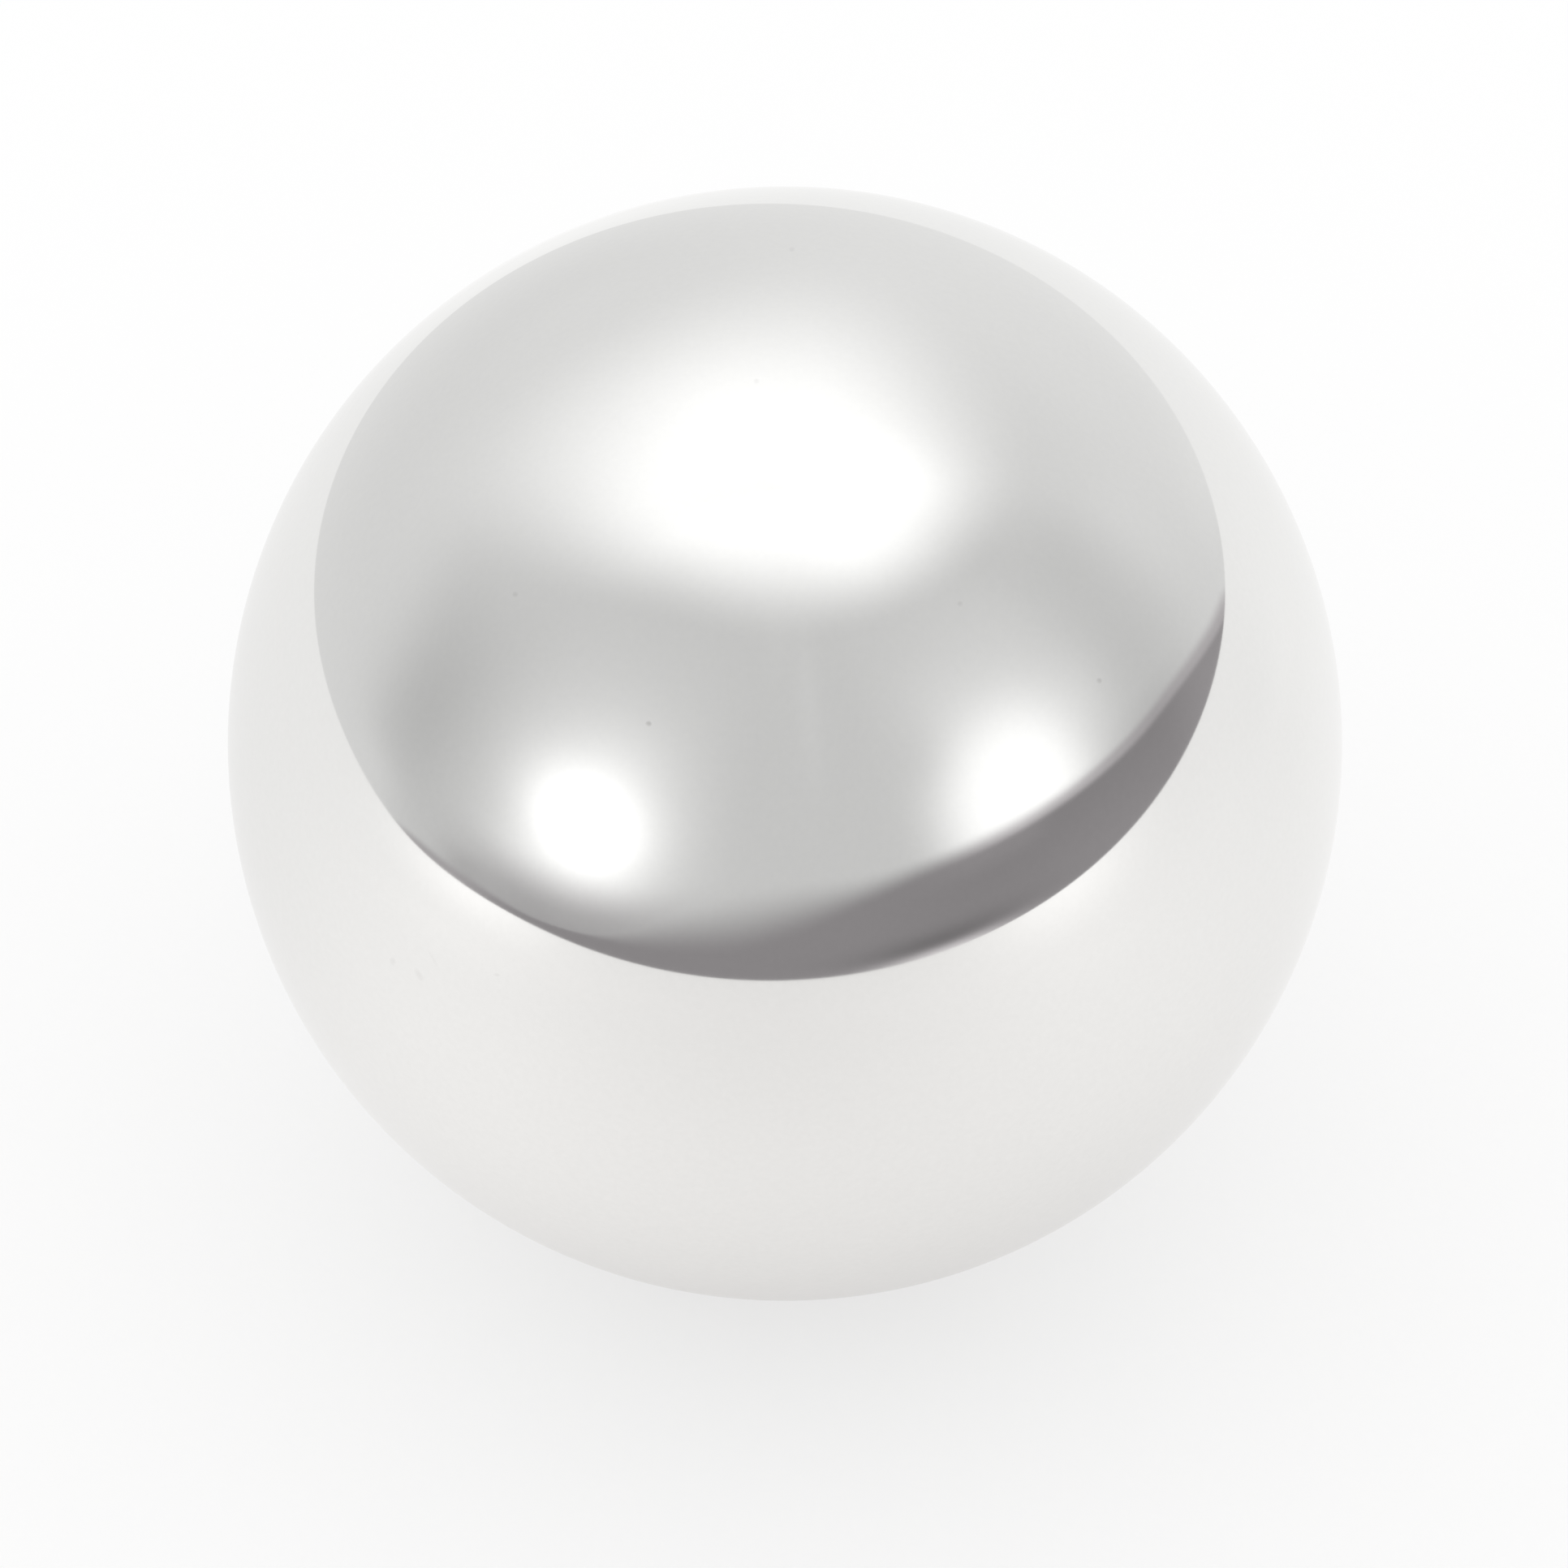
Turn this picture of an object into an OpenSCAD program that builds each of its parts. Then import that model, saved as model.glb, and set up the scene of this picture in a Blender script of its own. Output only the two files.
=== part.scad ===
// Steel ball: a solid, lapped and polished sphere of hardened steel.
// The origin is the ball's centre, with +Z up. Lengths are in millimetres.

/* [Ball] */
// Diameter of the ball
ball_d = 50; // [10:1:100]

/* [Finish] */
// Number of segments round the ball
ball_segments = 180; // [60:12:240]
// Colour of the polished steel
steel_colour = "#C9CBCC";

/* [Hidden] */

// The whole ball: one piece of steel with no seam, flat or hole.
module ball() {
    color(steel_colour)
        sphere(d = ball_d, $fn = ball_segments);
}

ball();
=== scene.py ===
import math

import bpy
import numpy as np
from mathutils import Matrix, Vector


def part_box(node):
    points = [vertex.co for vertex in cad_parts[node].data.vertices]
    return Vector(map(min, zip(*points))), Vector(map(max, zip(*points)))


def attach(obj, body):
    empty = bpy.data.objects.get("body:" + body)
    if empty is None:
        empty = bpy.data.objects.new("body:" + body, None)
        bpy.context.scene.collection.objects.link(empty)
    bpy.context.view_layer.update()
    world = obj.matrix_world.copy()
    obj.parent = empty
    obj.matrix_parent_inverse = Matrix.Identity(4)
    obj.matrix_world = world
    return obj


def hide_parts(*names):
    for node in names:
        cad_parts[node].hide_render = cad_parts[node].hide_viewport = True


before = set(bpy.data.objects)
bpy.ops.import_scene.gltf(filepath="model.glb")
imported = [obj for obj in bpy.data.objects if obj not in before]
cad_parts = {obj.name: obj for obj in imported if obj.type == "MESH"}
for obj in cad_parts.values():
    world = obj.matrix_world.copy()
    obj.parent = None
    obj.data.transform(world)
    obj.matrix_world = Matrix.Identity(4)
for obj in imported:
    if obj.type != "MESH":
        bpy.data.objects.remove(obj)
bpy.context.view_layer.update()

# Lengths are in metres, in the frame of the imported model: +Z is up and the ball's centre is the origin.
MM = 0.001
ball_low, ball_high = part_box("ball")
BALL_R = (ball_high.z - ball_low.z) / 2
FLOOR_Z = ball_low.z

# The ball's outline in the photograph, in pixels of its square frame, which is PHOTO_SIDE wide.
PHOTO_SIDE = 1932
OUTLINE_X, OUTLINE_Y, OUTLINE_R = 967.2, 916.1, 686.5

# The camera looks down on the ball from in front, eight radii away.
CAMERA_ELEVATION = math.radians(40)
CAMERA_DISTANCE = 8 * BALL_R
SENSOR_MM = 36
NEAREST_SEEN, FARTHEST_SEEN = BALL_R / 10, 10
outline_slope = math.tan(math.asin(BALL_R / CAMERA_DISTANCE))
FOCAL_PX = OUTLINE_R / outline_slope


def linear(hex_colour):
    """A hex sRGB colour as linear red, green, blue and alpha."""
    parts = [int(hex_colour[i:i + 2], 16) / 255 for i in (1, 3, 5)]
    return [p / 12.92 if p <= 0.04045 else ((p + 0.055) / 1.055) ** 2.4 for p in parts] + [1.0]


def add_node(material, kind, settings=None, **inputs):
    """Adds a node. Each input is a plain value, or a socket to link from."""
    node = material.node_tree.nodes.new(kind)
    for key, value in (settings or {}).items():
        setattr(node, key, value)
    for key, value in inputs.items():
        socket = node.inputs[int(key[1:])] if key[0] == "_" else node.inputs[key.replace("_", " ")]
        if isinstance(value, bpy.types.NodeSocket):
            material.node_tree.links.new(value, socket)
        else:
            socket.default_value = value
    return node


def new_material(name):
    """An empty node material and its output node."""
    material = bpy.data.materials.new(name)
    material.use_nodes = True
    material.node_tree.nodes.clear()
    return material, add_node(material, "ShaderNodeOutputMaterial")


def start_shaping(add_primitive, name, **settings):
    """Adds a primitive with nothing else selected."""
    bpy.ops.object.select_all(action="DESELECT")
    add_primitive(**settings)
    piece = bpy.context.object
    piece.name = piece.data.name = name
    return piece


def round_off(piece):
    """Moves every point of the piece out to the ball's true radius."""
    cast = piece.modifiers.new("round", "CAST")
    cast.cast_type = "SPHERE"
    cast.factor = 1
    cast.use_radius_as_size = False
    cast.size = BALL_R
    bpy.ops.object.modifier_apply(modifier=cast.name)


def points_of(piece):
    """The piece's points as rows of x, y and z."""
    places = np.empty(3 * len(piece.data.vertices))
    piece.data.vertices.foreach_get("co", places)
    return places.reshape(-1, 3)


def lay_colours(piece, name, colours):
    """Stores a colour for every point of the piece, as an attribute that its material reads."""
    attribute = piece.data.attributes.new(name, "FLOAT_COLOR", "POINT")
    opaque = np.ones((len(colours), 1))
    attribute.data.foreach_set("color", np.hstack([colours, opaque]).astype(np.float32).ravel())


# The way from the ball's centre to the camera, and level and upright ways across that.
to_camera = Vector((0, -math.cos(CAMERA_ELEVATION), math.sin(CAMERA_ELEVATION)))
level_way = Vector((1, 0, 0))
upright_way = to_camera.cross(level_way)

# Camera: aimed a little off the ball, which stands above the middle of the photograph. Seen off the lens's
# axis, the ball's outline lies a little further out than its centre.
camera_data = bpy.data.cameras.new("camera")
camera = bpy.data.objects.new("camera", camera_data)
bpy.context.scene.collection.objects.link(camera)
bpy.context.scene.camera = camera
camera_data.sensor_width = SENSOR_MM
camera_data.lens = SENSOR_MM * FOCAL_PX / PHOTO_SIDE
camera_data.clip_start = NEAREST_SEEN
camera_data.clip_end = FARTHEST_SEEN
camera.location = to_camera * CAMERA_DISTANCE
metres_per_pixel = CAMERA_DISTANCE / FOCAL_PX / (1 + outline_slope**2)
aim = level_way * (PHOTO_SIDE / 2 - OUTLINE_X) + upright_way * (OUTLINE_Y - PHOTO_SIDE / 2)
aim *= metres_per_pixel
camera_turn = (aim - camera.location).to_track_quat("-Z", "Y")
camera.rotation_euler = camera_turn.to_euler()


def seen_at(x, y):
    """The point of the ball seen at a pixel of the photograph, and the way that it mirrors from there."""
    x, y = np.asarray(x, float), np.asarray(y, float)
    eye = np.array(camera.location)
    right, up, back = (np.array(camera_turn @ Vector(axis)) for axis in ((1, 0, 0), (0, 1, 0), (0, 0, 1)))
    ray = (np.multiply.outer((x - PHOTO_SIDE / 2) / FOCAL_PX, right)
           + np.multiply.outer((PHOTO_SIDE / 2 - y) / FOCAL_PX, up) - back)
    ray /= np.linalg.norm(ray, axis=-1, keepdims=True)
    along = -(ray @ eye)
    depth = along - np.sqrt(along**2 - CAMERA_DISTANCE**2 + BALL_R**2)
    point = eye + depth[..., None] * ray
    normal = point / BALL_R
    return point, ray - 2 * (ray * normal).sum(-1, keepdims=True) * normal


# Marks in the polish, as the photograph shows them: x and y of the middle, half the length and half the width
# in pixels, the lean from level in degrees, the depth in mm and how dark it is.
MARKS = [
    (799, 892, 4.5, 4, 0, 0.003, 0.32),
    (1354, 839, 4, 4, 0, 0.002, 0.22),
    (635, 732, 4, 4, 0, 0.002, 0.15),
    (1183, 744, 4, 4, 0, 0.002, 0.13),
    (932, 470, 4, 4, 0, 0.002, 0.11),
    (976, 307, 4, 3.5, 0, 0.002, 0.11),
    (484, 1184.5, 6, 4.5, -60, 0.0015, 0.08),
    (516, 1201, 10.5, 4, -60, 0.0015, 0.085),
    (534, 1182, 14.5, 2.5, -60, 0.001, 0.045),
    (612, 1201, 5, 2.5, -10, 0.0015, 0.09),
]
# The grid is cut finer round each mark, once for each of these reaches, which count in the mark's own size.
MARK_REACHES = (8, 5, 3, 1.8)
# A mark is pressed only into points that face nearly its own way, which keeps it off the ball's far side.
SAME_SIDE = 0.9


def mark_axes(x, y, half_long, half_wide, lean):
    """The middle of a mark on the ball, the rows that measure a step from it in half lengths and half widths,
    and its size."""
    turn = math.radians(-lean)
    middle = seen_at(x, y)[0]
    end = seen_at(x + half_long * math.cos(turn), y + half_long * math.sin(turn))[0] - middle
    side = seen_at(x - half_wide * math.sin(turn), y + half_wide * math.cos(turn))[0] - middle
    return middle, np.linalg.pinv(np.stack([end, side], 1)), max(np.linalg.norm(end), np.linalg.norm(side))


placed_marks = []
for x, y, half_long, half_wide, lean, depth, dark in MARKS:
    middle, rows, size = mark_axes(x, y, half_long, half_wide, lean)
    placed_marks.append((middle, rows, size, depth * MM, dark))

# Ball: a cube cut into a fine grid and rounded to the true radius, so that it has no poles.
GRID_CUTS = 95
ball = start_shaping(bpy.ops.mesh.primitive_cube_add, "polished_ball", size=2 * BALL_R)
bpy.ops.object.mode_set(mode="EDIT")
bpy.ops.mesh.subdivide(number_cuts=GRID_CUTS)
bpy.ops.object.mode_set(mode="OBJECT")
round_off(ball)
for reach in MARK_REACHES:
    face_middles = np.empty(3 * len(ball.data.polygons))
    ball.data.polygons.foreach_get("center", face_middles)
    face_middles = face_middles.reshape(-1, 3)
    chosen = np.zeros(len(face_middles), bool)
    for middle, rows, size, depth, dark in placed_marks:
        chosen |= np.linalg.norm(face_middles - middle, axis=1) < reach * size
    bpy.ops.object.mode_set(mode="EDIT")
    bpy.ops.mesh.select_all(action="DESELECT")
    bpy.ops.mesh.select_mode(type="FACE")
    bpy.ops.object.mode_set(mode="OBJECT")
    ball.data.polygons.foreach_set("select", chosen)
    bpy.ops.object.mode_set(mode="EDIT")
    bpy.ops.mesh.subdivide(number_cuts=1)
    bpy.ops.object.mode_set(mode="OBJECT")
    round_off(ball)
bpy.ops.object.shade_smooth()

# Each mark is pressed in as a smooth dish, deepest in the middle. The normals are those of the true sphere
# and of the dishes' true curves.
places = points_of(ball)
outward = places / np.linalg.norm(places, axis=1, keepdims=True)
sunk = np.zeros(len(places))
slope = np.zeros_like(places)
darkness = np.zeros(len(places))
for middle, rows, size, depth, dark in placed_marks:
    step = (places - middle) @ rows.T
    near = np.clip(1 - (step**2).sum(1), 0, 1) * (outward @ (middle / BALL_R) > SAME_SIDE)
    sunk += depth * near**2
    slope += -4 * depth * near[:, None] * (step @ rows)
    darkness = np.maximum(darkness, dark * near)
ball.data.vertices.foreach_set("co", (places - outward * sunk[:, None]).ravel())
tilted = outward - slope + outward * (slope * outward).sum(1, keepdims=True)
tilted = tilted / np.linalg.norm(tilted, axis=1, keepdims=True)
ball.data.normals_split_custom_set_from_vertices(tilted.tolist())
pit = ball.data.attributes.new("pit", "FLOAT", "POINT")
pit.data.foreach_set("value", darkness.astype(np.float32))

# The steel's two greys, and the darker grey that the marks are given.
STEEL_GREY, STEEL_PALE_GREY, PIT_GREY = "#EBEBEA", "#EFEFEE", "#8E8A87"
# The lapping leaves clouds of one size and a broader unevenness of the other.
CLOUD_SIZE, HAZE_SIZE = 0.3 * MM, 8 * MM
# How rough the polish is where it is best and where it is worst, and how rough a broken spot is.
BEST_POLISH, WORST_POLISH, PIT_ROUGHNESS = 0.03, 0.05, 0.4


def polished_steel():
    """Through-hardened bearing steel, ground, lapped and tumbled bright: a clear grey-white mirror with the
    faintest clouding. The pits and nicks are rougher, and coloured a darker grey."""
    material, output = new_material("polished_bearing_steel")
    place = add_node(material, "ShaderNodeTexCoord").outputs["Object"]
    clouds = add_node(material, "ShaderNodeTexNoise", Vector=place, Scale=1 / CLOUD_SIZE, Detail=2.0)
    haze = add_node(material, "ShaderNodeTexNoise", Vector=place, Scale=1 / HAZE_SIZE, Detail=3.0)
    steel_tint = add_node(material, "ShaderNodeMix", {"data_type": "RGBA"}, _0=clouds.outputs[0],
                          _6=linear(STEEL_GREY), _7=linear(STEEL_PALE_GREY))
    pit_depth = add_node(material, "ShaderNodeAttribute", {"attribute_name": "pit"}).outputs["Fac"]
    tint = add_node(material, "ShaderNodeMix", {"data_type": "RGBA"}, _0=pit_depth, _6=steel_tint.outputs[2],
                    _7=linear(PIT_GREY))
    # The noise runs from about 0.3 to 0.7.
    gloss = add_node(material, "ShaderNodeMapRange", Value=haze.outputs[0], From_Min=0.3, From_Max=0.7,
                     To_Min=BEST_POLISH, To_Max=WORST_POLISH)
    roughness = add_node(material, "ShaderNodeMix", _0=pit_depth, _2=gloss.outputs[0], _3=PIT_ROUGHNESS)
    steel = add_node(material, "ShaderNodeBsdfPrincipled", Base_Color=tint.outputs[2], Metallic=1.0,
                     Roughness=roughness.outputs[0])
    material.node_tree.links.new(steel.outputs[0], output.inputs["Surface"])
    return material


ball.data.materials.append(polished_steel())
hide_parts("ball")
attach(ball, "root")

# Surroundings: a light tent round the ball, which only the steel's mirror sees. Places on it are given by
# azimuth, where 0 is the camera's side and 90 is +X, and by elevation, both in degrees from the ball's
# centre. Light is counted so that 1 is white.
TENT_R = 16 * BALL_R
# The edge of the white sheet under the ball is this ellipse in the mirror, in pixels of the photograph. It
# bulges a little at the lower left. It is worked out at EDGE_STEPS places.
EDGE_X, EDGE_Y, EDGE_ACROSS, EDGE_UP = 948.3, 729.6, 561.3, 478.8
EDGE_LEAN = math.radians(-0.1)
BULGE, BULGE_AT, BULGE_HALF = 6.7, math.radians(140.5), math.radians(13.5)
EDGE_STEPS = 4000


def on_tent(x, y):
    """Azimuth and elevation of the place on the tent that the ball mirrors at a pixel of the photograph."""
    point, mirrored = seen_at(x, y)
    along = (point * mirrored).sum(-1)
    reach = -along + np.sqrt(along**2 - BALL_R**2 + TENT_R**2)
    place = (point + reach[..., None] * mirrored) / TENT_R
    return np.degrees(np.arctan2(place[..., 0], -place[..., 1])), np.degrees(np.arcsin(place[..., 2]))


def bump(value, middle, half, rim=2):
    """1 at the middle, falling softly to 0 on both sides. A higher rim number gives a flatter top."""
    return np.exp(-np.abs((value - middle) / half) ** rim)


def smooth(low, high, value):
    """0 below low, 1 above high, and a smooth rise between."""
    share = np.clip((value - low) / (high - low), 0, 1)
    return share * share * (3 - 2 * share)


def curve(points, azimuth):
    """A smooth closed curve through (azimuth, value) points."""
    at, value = np.array(points, float).T
    at = np.concatenate([at[-2:] - 360, at, at[:2] + 360])
    value = np.concatenate([value[-2:], value, value[:2]])
    rise = np.gradient(value, at)
    here = np.clip(np.searchsorted(at, azimuth, side="right") - 1, 1, len(at) - 3)
    width = at[here + 1] - at[here]
    share = (azimuth - at[here]) / width
    left = 1 - share
    return (left**2 * ((1 + 2 * share) * value[here] + share * width * rise[here])
            + share**2 * ((3 - 2 * share) * value[here + 1] - left * width * rise[here + 1]))


def glow(azimuth, elevation, at, spread, strength, rim=2):
    """A soft oval of light, or of shade where the strength is negative, round a place on the tent. A higher
    rim number gives a crisper rim."""
    turn = (azimuth - at[0] + 180) % 360 - 180
    across = turn * np.cos(np.radians(elevation)) / spread[0]
    return strength * np.exp(-np.hypot(across, (elevation - at[1]) / spread[1]) ** rim)


def sheet_edge(azimuth):
    """Elevation of the sheet's edge at an azimuth."""
    turn = np.linspace(0, 2 * math.pi, EDGE_STEPS, endpoint=False)
    grown = 1 + BULGE / EDGE_ACROSS * bump(turn, BULGE_AT, BULGE_HALF)
    across, down = EDGE_ACROSS * grown * np.cos(turn), EDGE_UP * grown * np.sin(turn)
    edge_azimuth, edge_elevation = on_tent(
        EDGE_X + across * math.cos(EDGE_LEAN) - down * math.sin(EDGE_LEAN),
        EDGE_Y + across * math.sin(EDGE_LEAN) + down * math.cos(EDGE_LEAN))
    order = np.argsort(edge_azimuth)
    return np.interp(azimuth, edge_azimuth[order], edge_elevation[order], period=360)


# The front cloth's light, and the azimuths over which it takes over from the walls and gives way to them
# again.
CLOTH_LIGHT = 0.65
CLOTH_BEGINS, CLOTH_ENDS = (-85, -65), (75, 112)
# The light of the walls, which is more to the right and less higher up.
WALL_LIGHT, WALL_GAIN_RIGHT, WALL_LOSS_UP = 0.845, 0.09, 0.2
# Soft lights and shades on them: where, how far they spread and how strong. The first two are the shades at
# the ends of the front cloth, the next two are the wide light round the lamps, and the rest are smaller
# lights, shades and folds.
CLOTH_GLOWS = [
    ((-82, 13), (12, 22), -0.17),
    ((100, 18), (26, 36), -0.15),
    ((-40, 22), (19, 22), 0.18),
    ((61, 29), (20, 28), 0.155),
    ((-110, 43), (20, 20), 0.09),
    ((-120, 22), (14, 12), 0.02),
    ((-96, 30), (9, 9), -0.03),
    ((176, 56), (20, 30), 0.14),
    ((-86, -1), (8, 5), 0.07),
    ((-53, 5), (7, 5), 0.07),
    ((-154, 24), (14, 9), 0.03),
    ((112, 5), (10, 9), -0.05),
    ((122, 2), (6, 4), -0.05),
    ((138, 11), (16, 12), -0.03),
    ((110, 27), (9, 10), 0.03),
    ((96, 42), (9, 9), -0.035),
    ((72, 25), (7, 8), 0.05),
    ((40, 42), (9, 7), 0.04),
    ((33, 31), (5, 5), -0.03),
    ((-36, 31), (10, 8), 0.065),
    ((6.5, 47), (2.2, 15), 0.024),
    ((-9, 33), (6, 18), -0.015),
    ((-3, 59), (2.5, 6), 0.015),
    ((17, 48), (4, 14), -0.008),
]
# The two lamps behind the front cloth, with the crispness of their rims, and how far from the cloth's hem,
# on both sides of it, their light fades.
LAMPS = [
    ((-40, 16.5), (11.3, 9.3), 1.05, 1.8),
    ((48, 17), (16, 18), 0.55, 3.3),
]
LAMP_FADE = 2
# The ceiling's own light, and how far out it is full and where it ends, for every 45 degrees of bearing. Both
# are shares of the tent's radius, from a middle that lies a little behind the ball.
CEILING_LIGHT, CEILING_BEHIND = 0.58, 0.05
CEILING_FULL = [(-180, 0), (-135, 0.15), (-90, 0.33), (-45, 0.26),
                (0, 0.22), (45, 0.32), (90, 0.3), (135, 0.03)]
CEILING_END = [(-180, 0.85), (-135, 1), (-90, 0.82), (-45, 0.6),
               (0, 0.57), (45, 0.58), (90, 0.655), (135, 0.77)]

# The dark opening under the front cloth: the elevation of its top, and how softly the cloth's hem ends there.
OPENING_TOP = [(-180, -30), (-110, -20), (-80, -5), (-60, -3.6), (-45, -4), (-30, -2),
               (-15, 3.5), (0, 8), (15, 11.15), (30, 13.55), (45, 14.6), (60, 14.6),
               (75, 13.8), (90, 12), (105, 7.6), (115, 3.6), (130, -10)]
HEM_SOFTNESS = [(-180, 1), (-60, 0.8), (-32, 0.9), (-20, 4.5), (-8, 6.8), (0, 6.3),
                (15, 3.3), (30, 2.1), (45, 1.3), (60, 0.8), (90, 0.8), (110, 1.2)]
# The opening's own light, and how it changes: more at the left end, less at the right, more at the right end.
# Each change goes with the azimuths over which it fades or comes.
OPENING_LIGHT = 0.285
LEFT_END_GAIN, LEFT_END_FADES = 0.12, (-65, -46)
RIGHT_LOSS, RIGHT_LOSS_COMES = 0.03, (10, 50)
RIGHT_END_GAIN, RIGHT_END_COMES = 0.06, (80, 100)
# At the right it also gets lighter downwards, until this far below the opening's top.
LOW_GAIN, LOW_GAIN_DEPTH, LOW_GAIN_COMES = 0.05, 12, (20, 70)
# A little light lies close under the hem below the right lamp.
UNDER_HEM_GAIN, UNDER_HEM_RISES = 0.04, (-7, -2)
UNDER_HEM_COMES, UNDER_HEM_FADES = (20, 40), (46, 56)
# A half-lit fold of the hem hangs along the top at the right. It is less lit further out.
FOLD_LIGHT, FOLD_COMES, FOLD_RISES = 0.24, (25, 50), (-2.3, -1.2)
FOLD_LOSS, FOLD_LOSS_COMES = 0.08, (60, 85)
# A darker pocket and the sheet's thin turned-up hem lie along the sheet's edge: the change of light, then the
# azimuth and half the width, then the height above the edge and half the height.
POCKET = -0.085, (27, 14), (2.2, 2.3)
TURNED_UP_HEM = 0.45, (29, 12), (0, 1.15)

# The front cloth is in shade above its lower left hem: how deep, round which azimuth, how wide to each side
# and how flat in the middle. The height above the hem where the shade ends comes down from the first of the
# azimuths to the second, and the shade fades over HEM_SHADE_FADE degrees below it.
HEM_SHADE, HEM_SHADE_SPAN = 0.41, (-40, 22, 3)
HEM_SHADE_AZIMUTHS, HEM_SHADE_ENDS = (-35, -15), (12.7, 10.3)
HEM_SHADE_FADE = 10
# Two narrower shades of the hem: how deep, the azimuth and half the width, and the heights over which each
# of them ends.
NARROW_HEM_SHADES = [
    (0.08, (82, 12), (0, 5)),
    (0.12, (-62, 5), (1, 6)),
]

# The tint of each light, as shares of red, green and blue. The shaded hem has its full tint from one depth of
# shade on.
CLOTH_TINT = np.array([1.0, 0.998, 0.994])
HEM_TINT = np.array([1.0, 0.975, 0.985])
OPENING_TINT = np.array([1.0, 0.954, 0.977])
SHEET_TINT = np.array([1.0, 0.987, 0.978])
FULL_HEM_TINT_FROM = 0.5


def cloth_and_walls(azimuth, elevation):
    """Light of the front cloth and of the walls, with their soft lights and shades."""
    front = smooth(*CLOTH_BEGINS, azimuth) * (1 - smooth(*CLOTH_ENDS, azimuth))
    walls = WALL_LIGHT + WALL_GAIN_RIGHT * np.sin(np.radians(azimuth)) - WALL_LOSS_UP * elevation / 90
    light = CLOTH_LIGHT * front + walls * (1 - front)
    for at, spread, strength in CLOTH_GLOWS:
        light = light + glow(azimuth, elevation, at, spread, strength)
    return light


def ceiling(azimuth, elevation):
    """Light that the ceiling adds."""
    turn, rise = np.radians(azimuth), np.radians(elevation)
    across, away = np.cos(rise) * np.sin(turn), -np.cos(rise) * np.cos(turn) - CEILING_BEHIND
    bearing = np.degrees(np.arctan2(across, -away))
    full, end = np.maximum(curve(CEILING_FULL, bearing), 0), curve(CEILING_END, bearing)
    return CEILING_LIGHT * smooth(0, 1, (end - np.hypot(across, away)) / (end - full))


def opening(azimuth, above_top, above_edge):
    """Light of what shows through the dark opening."""
    light = OPENING_LIGHT + LEFT_END_GAIN * (1 - smooth(*LEFT_END_FADES, azimuth))
    light = light - RIGHT_LOSS * smooth(*RIGHT_LOSS_COMES, azimuth)
    light = light + RIGHT_END_GAIN * smooth(*RIGHT_END_COMES, azimuth)
    light = light + LOW_GAIN * np.clip(-above_top / LOW_GAIN_DEPTH, 0, 1) * smooth(*LOW_GAIN_COMES, azimuth)
    under_hem = smooth(*UNDER_HEM_COMES, azimuth) * (1 - smooth(*UNDER_HEM_FADES, azimuth))
    light = light + UNDER_HEM_GAIN * under_hem * smooth(*UNDER_HEM_RISES, above_top)
    fold = FOLD_LIGHT * smooth(*FOLD_COMES, azimuth) - FOLD_LOSS * smooth(*FOLD_LOSS_COMES, azimuth)
    light = light + fold * smooth(*FOLD_RISES, above_top)
    for change, azimuths, heights in (POCKET, TURNED_UP_HEM):
        light = light + change * bump(azimuth, *azimuths) * bump(above_edge, *heights)
    return light


def tent_light(azimuth, elevation, edge):
    """Colour and light of the tent above the sheet's edge."""
    above_top = elevation - curve(OPENING_TOP, azimuth)
    open_share = 1 - smooth(-1, 1, above_top / curve(HEM_SOFTNESS, azimuth))
    shade_end = np.interp(azimuth, HEM_SHADE_AZIMUTHS, HEM_SHADE_ENDS)
    shade = HEM_SHADE * bump(azimuth, *HEM_SHADE_SPAN)
    shade = shade * (1 - smooth(shade_end - HEM_SHADE_FADE, shade_end, above_top))
    for depth, azimuths, heights in NARROW_HEM_SHADES:
        shade = shade + depth * bump(azimuth, *azimuths) * (1 - smooth(*heights, above_top))
    cloth = (cloth_and_walls(azimuth, elevation) + ceiling(azimuth, elevation)) * (1 - shade)
    lamps = sum(glow(azimuth, elevation, *lamp) for lamp in LAMPS) * smooth(-LAMP_FADE, LAMP_FADE, above_top)
    lit = cloth * (1 - open_share) + lamps
    tint = CLOTH_TINT + (HEM_TINT - CLOTH_TINT) * np.clip(shade / FULL_HEM_TINT_FROM, 0, 1)[..., None]
    dark = opening(azimuth, above_top, elevation - edge) * open_share
    return lit[..., None] * tint + dark[..., None] * OPENING_TINT


# The sheet's painted light, which is less in front and more behind, and painted soft lights and shades on it.
# The first two are painted pools of the lamps' light near its edge.
SHEET_LIGHT, SHEET_LOSS_IN_FRONT = 0.905, 0.055
SHEET_GLOWS = [
    ((-59, -3), (16, 7), 0.26),
    ((52, 2), (15, 10), 0.24),
    ((-58, -32), (45, 30), 0.14),
    ((30, -27), (64, 35), 0.13),
    ((0, -15), (40, 17), -0.08),
    ((0, -15), (100, 15), 0.03),
    ((118, -15), (22, 25), 0.03),
    ((108, -8), (12, 10), -0.03),
    ((-168, -16), (10, 12), 0.05),
    ((-115, -28), (75, 18), -0.04),
    ((-20, -62), (120, 18), -0.035),
]


def sheet_light(azimuth, elevation):
    """Painted colour and light of the sheet, by the place where it is seen from the ball's centre."""
    light = SHEET_LIGHT - SHEET_LOSS_IN_FRONT * np.cos(np.radians(azimuth))
    for at, spread, strength in SHEET_GLOWS:
        light = light + glow(azimuth, elevation, at, spread, strength)
    behind = (1 - np.cos(np.radians(azimuth)))[..., None] / 2
    return light[..., None] * (SHEET_TINT * (1 - behind) + CLOTH_TINT * behind)


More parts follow.
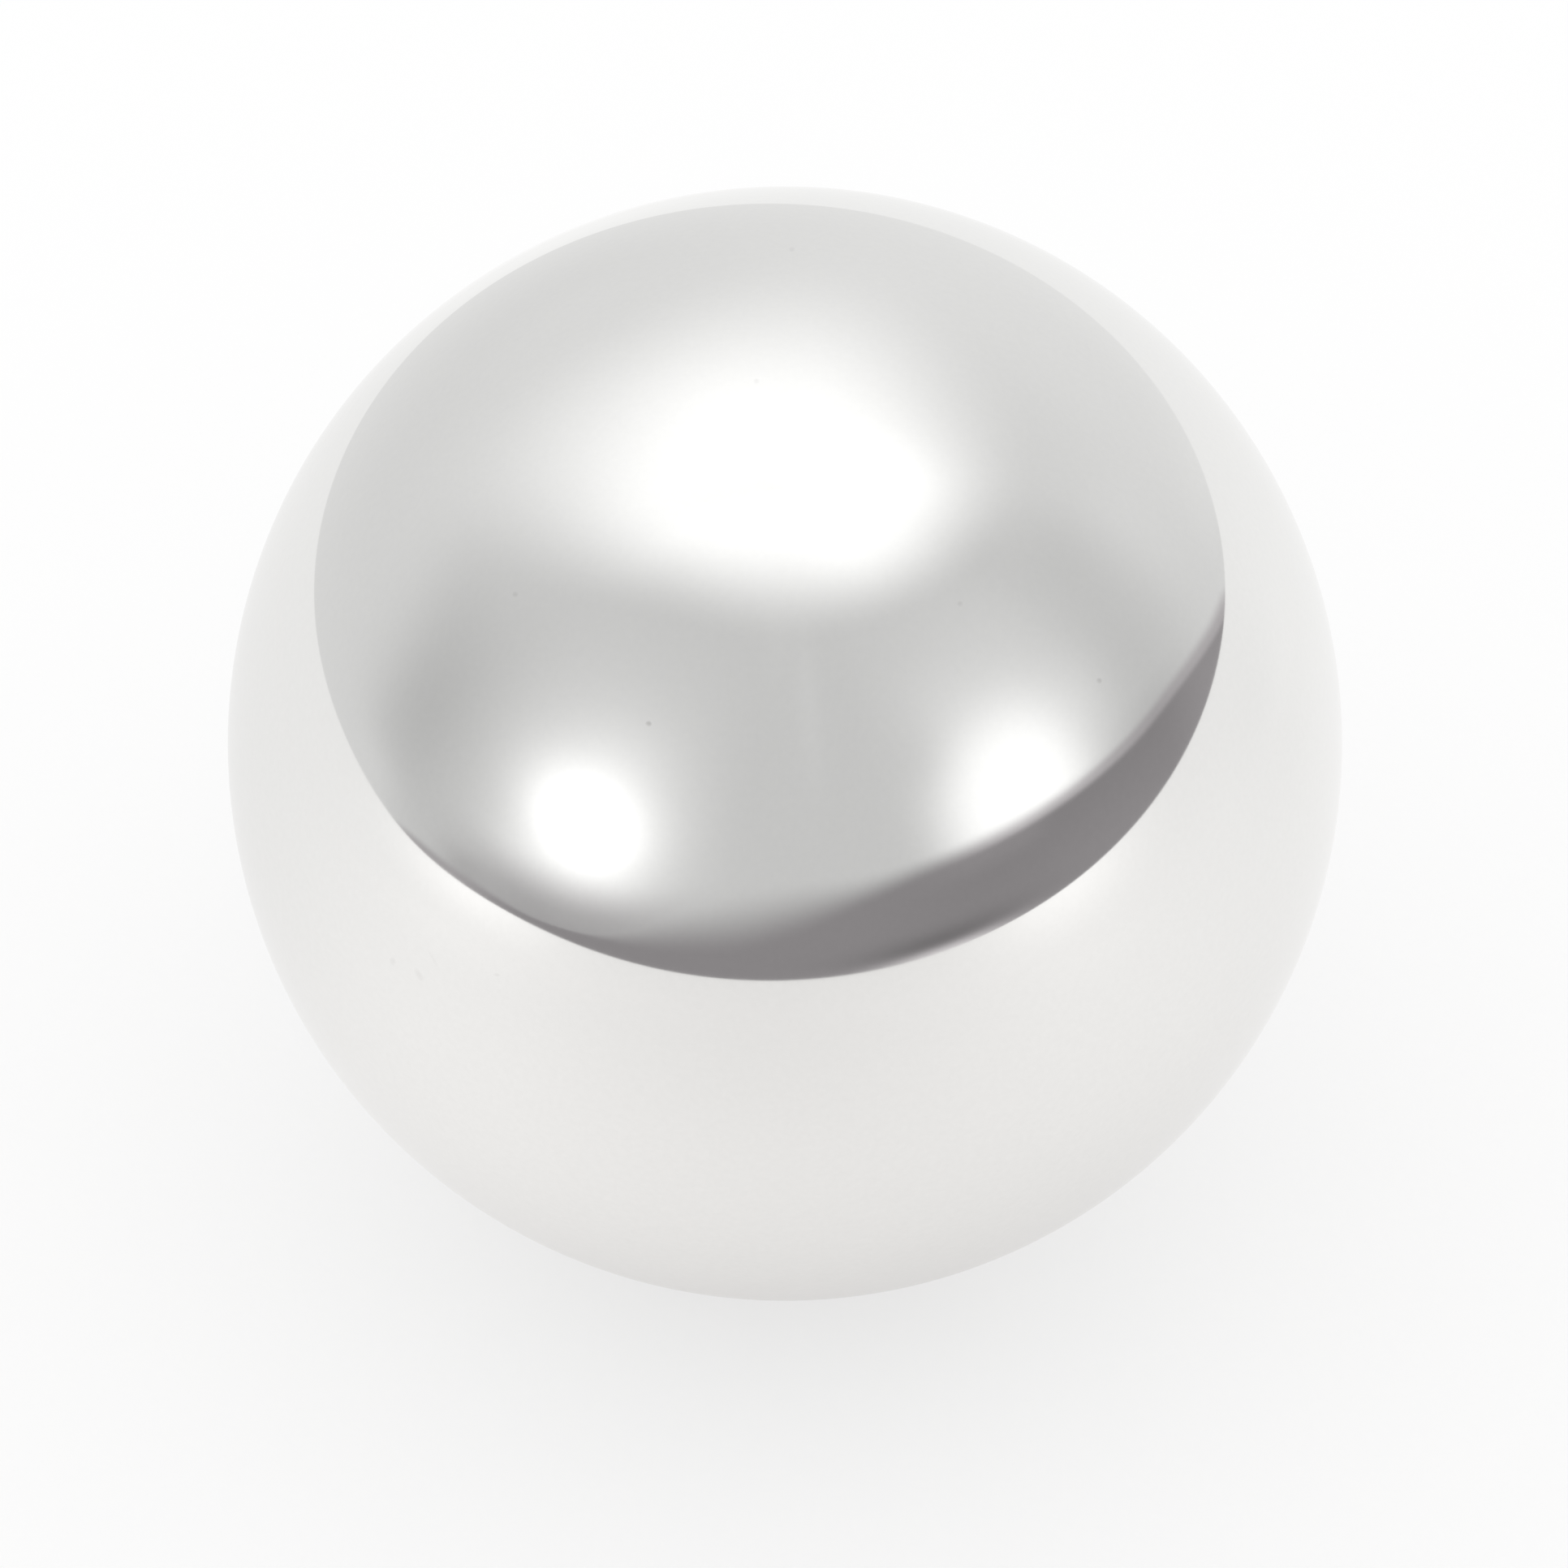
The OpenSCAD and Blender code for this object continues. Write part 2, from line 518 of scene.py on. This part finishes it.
# Tent: a grid wrapped to a globe. Its middle ring follows the sheet's edge, and its rings crowd towards that
# edge. The middle ring itself still belongs to the sheet.
TENT_SEGMENTS, TENT_RINGS = 720, 300
tent = start_shaping(bpy.ops.mesh.primitive_grid_add, "light_tent", x_subdivisions=TENT_SEGMENTS,
                     y_subdivisions=TENT_RINGS, size=2)
places = points_of(tent)
azimuths, rings = 180 * places[:, 0], 90 * places[:, 1]
edges = sheet_edge(azimuths)
share = (rings / 90) ** 2
elevations = np.where(rings > 0, edges + (90 - edges) * share, edges - (90 + edges) * share)
above = rings > 90 / TENT_RINGS
turn, rise = np.radians(azimuths), np.radians(elevations)
places = TENT_R * np.stack([np.sin(turn) * np.cos(rise), -np.cos(turn) * np.cos(rise), np.sin(rise)], 1)
tent.data.vertices.foreach_set("co", places.ravel())
lay_colours(tent, "glow", np.where(above[:, None], tent_light(azimuths, elevations, edges),
                                   sheet_light(azimuths, elevations)))
# White tent cloth with lamps behind it: it glows softly, and the steel mirrors that glow.
tent_material, output = new_material("lit_tent_cloth")
tent_glow = add_node(tent_material, "ShaderNodeAttribute", {"attribute_name": "glow"})
emission = add_node(tent_material, "ShaderNodeEmission", Color=tent_glow.outputs["Color"])
tent_material.node_tree.links.new(emission.outputs[0], output.inputs["Surface"])
tent_material.cycles.emission_sampling = "NONE"
tent.data.materials.append(tent_material)
for ray_kind in ("camera", "diffuse", "transmission", "volume_scatter", "shadow"):
    setattr(tent, "visible_" + ray_kind, False)

# Floor: a plain white sheet, cut into rings that get finer towards the ball. The steel mirrors it near the
# ball, in full out to one distance and not at all from the next on, where it sees the tent's lower half.
FLOOR_R = 4.0
FLOOR_SIDES = 128
RING_GROWTH = 1.09
INNERMOST_RING = BALL_R / 8
MIRRORED_OUT_TO = 6.5 * BALL_R
MIRRORED_IN_FULL_TO = 0.6 * MIRRORED_OUT_TO
# The share of the paper's white that the camera and the steel see without shadow, which halves the shadow.
SHADOWLESS_SHARE = 0.5
floor = start_shaping(bpy.ops.mesh.primitive_circle_add, "paper_floor", vertices=FLOOR_SIDES, radius=FLOOR_R,
                      fill_type="NGON", location=(0, 0, FLOOR_Z))
bpy.ops.object.transform_apply(location=True)
bpy.ops.object.mode_set(mode="EDIT")
bpy.ops.mesh.select_all(action="SELECT")
ring_r, outer_r = MIRRORED_OUT_TO * RING_GROWTH, FLOOR_R
while ring_r > INNERMOST_RING:
    bpy.ops.mesh.inset(thickness=(outer_r - ring_r) * math.cos(math.pi / FLOOR_SIDES))
    ring_r, outer_r = ring_r / RING_GROWTH, ring_r
bpy.ops.object.mode_set(mode="OBJECT")
places = points_of(floor)
azimuths = np.degrees(np.arctan2(places[:, 0], -places[:, 1]))
elevations = -np.degrees(np.arctan2(BALL_R, np.hypot(places[:, 0], places[:, 1])))
# The sheet's light and shade, painted onto the floor's points for the steel's mirror.
lay_colours(floor, "glow", sheet_light(azimuths, elevations))
# White paper: matt and even to the eye, apart from the ball's soft shadow. The steel mirrors it with the
# lamps' light and shade painted into its colour, which the camera does not see.
floor_material, output = new_material("white_paper")
light_path = add_node(floor_material, "ShaderNodeLightPath")
painted_paper_light = add_node(floor_material, "ShaderNodeAttribute", {"attribute_name": "glow"})
paper_colour = add_node(floor_material, "ShaderNodeMix", {"data_type": "RGBA"}, _6=linear("#FFFFFF"),
                        _0=light_path.outputs["Is Glossy Ray"], _7=painted_paper_light.outputs["Color"])
paper = add_node(floor_material, "ShaderNodeBsdfDiffuse", Color=paper_colour.outputs[2])
bright_paper = add_node(floor_material, "ShaderNodeEmission", Color=paper_colour.outputs[2])
seen_bright = add_node(floor_material, "ShaderNodeMath", {"operation": "MAXIMUM"},
                       _0=light_path.outputs["Is Camera Ray"], _1=light_path.outputs["Is Glossy Ray"])
bright_share = add_node(floor_material, "ShaderNodeMath", {"operation": "MULTIPLY"},
                        _0=seen_bright.outputs[0], _1=SHADOWLESS_SHARE)
near_paper = add_node(floor_material, "ShaderNodeMixShader", _0=bright_share.outputs[0], _1=paper.outputs[0],
                      _2=bright_paper.outputs[0])
place = add_node(floor_material, "ShaderNodeTexCoord")
length = add_node(floor_material, "ShaderNodeVectorMath", {"operation": "LENGTH"}, _0=place.outputs["Object"])
far = add_node(floor_material, "ShaderNodeMapRange", {"interpolation_type": "SMOOTHSTEP"},
               Value=length.outputs["Value"], From_Min=MIRRORED_IN_FULL_TO, From_Max=MIRRORED_OUT_TO)
unmirrored = add_node(floor_material, "ShaderNodeMath", {"operation": "MULTIPLY"},
                      _0=far.outputs[0], _1=light_path.outputs["Is Glossy Ray"])
clear = add_node(floor_material, "ShaderNodeBsdfTransparent")
surface = add_node(floor_material, "ShaderNodeMixShader", _0=unmirrored.outputs[0], _1=near_paper.outputs[0],
                   _2=clear.outputs[0])
floor_material.node_tree.links.new(surface.outputs[0], output.inputs["Surface"])
floor_material.cycles.emission_sampling = "NONE"
floor.data.materials.append(floor_material)

# World: even white light.
world = bpy.data.worlds.new("white_studio")
bpy.context.scene.world = world
world.use_nodes = True
background = world.node_tree.nodes["Background"]
background.inputs["Color"].default_value = linear("#FFFFFF")
background.inputs["Strength"].default_value = 1.0

bpy.context.scene.view_settings.view_transform = "Standard"
